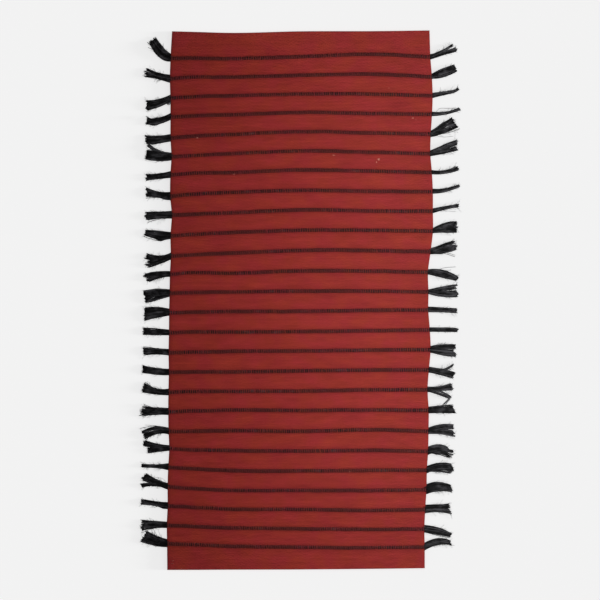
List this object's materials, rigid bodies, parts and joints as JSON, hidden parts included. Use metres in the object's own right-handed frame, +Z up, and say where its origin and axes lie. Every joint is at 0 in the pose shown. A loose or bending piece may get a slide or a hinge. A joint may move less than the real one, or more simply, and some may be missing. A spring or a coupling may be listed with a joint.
{
  "type": "rug",
  "caption": "Flat-woven rectangular rug lying flat, with thin dark weft stripes across a plain ground and cut yarn tassels at both ends of each stripe.",
  "frame": {"origin": "middle of the cloth's underside, on the floor", "axes": "+Z up, away from the floor; +Y along the rug's length; +X across its width"},
  "size_m": [0.7317, 1.24, 0.006],
  "materials": {
    "red_cloth": "matte woven cotton, brick red with near-black weft stripes",
    "black_yarn": "matte cut cotton yarn, near black"
  },
  "bodies": {
    "root": {"cloth": "red_cloth", "tassel_left_01": "black_yarn", "tassel_left_02": "black_yarn", "tassel_left_03": "black_yarn", "tassel_left_04": "black_yarn", "tassel_left_05": "black_yarn", "tassel_left_06": "black_yarn", "tassel_left_07": "black_yarn", "tassel_left_08": "black_yarn", "tassel_left_09": "black_yarn", "tassel_left_10": "black_yarn", "tassel_left_11": "black_yarn", "tassel_left_12": "black_yarn", "tassel_left_13": "black_yarn", "tassel_left_14": "black_yarn", "tassel_left_15": "black_yarn", "tassel_left_16": "black_yarn", "tassel_left_17": "black_yarn", "tassel_left_18": "black_yarn", "tassel_left_19": "black_yarn", "tassel_left_20": "black_yarn", "tassel_left_21": "black_yarn", "tassel_left_22": "black_yarn", "tassel_left_23": "black_yarn", "tassel_left_24": "black_yarn", "tassel_left_25": "black_yarn", "tassel_left_26": "black_yarn", "tassel_right_01": "black_yarn", "tassel_right_02": "black_yarn", "tassel_right_03": "black_yarn", "tassel_right_04": "black_yarn", "tassel_right_05": "black_yarn", "tassel_right_06": "black_yarn", "tassel_right_07": "black_yarn", "tassel_right_08": "black_yarn", "tassel_right_09": "black_yarn", "tassel_right_10": "black_yarn", "tassel_right_11": "black_yarn", "tassel_right_12": "black_yarn", "tassel_right_13": "black_yarn", "tassel_right_14": "black_yarn", "tassel_right_15": "black_yarn", "tassel_right_16": "black_yarn", "tassel_right_17": "black_yarn", "tassel_right_18": "black_yarn", "tassel_right_19": "black_yarn", "tassel_right_20": "black_yarn", "tassel_right_21": "black_yarn", "tassel_right_22": "black_yarn", "tassel_right_23": "black_yarn", "tassel_right_24": "black_yarn", "tassel_right_25": "black_yarn", "tassel_right_26": "black_yarn"}
  },
  "joints": []
}
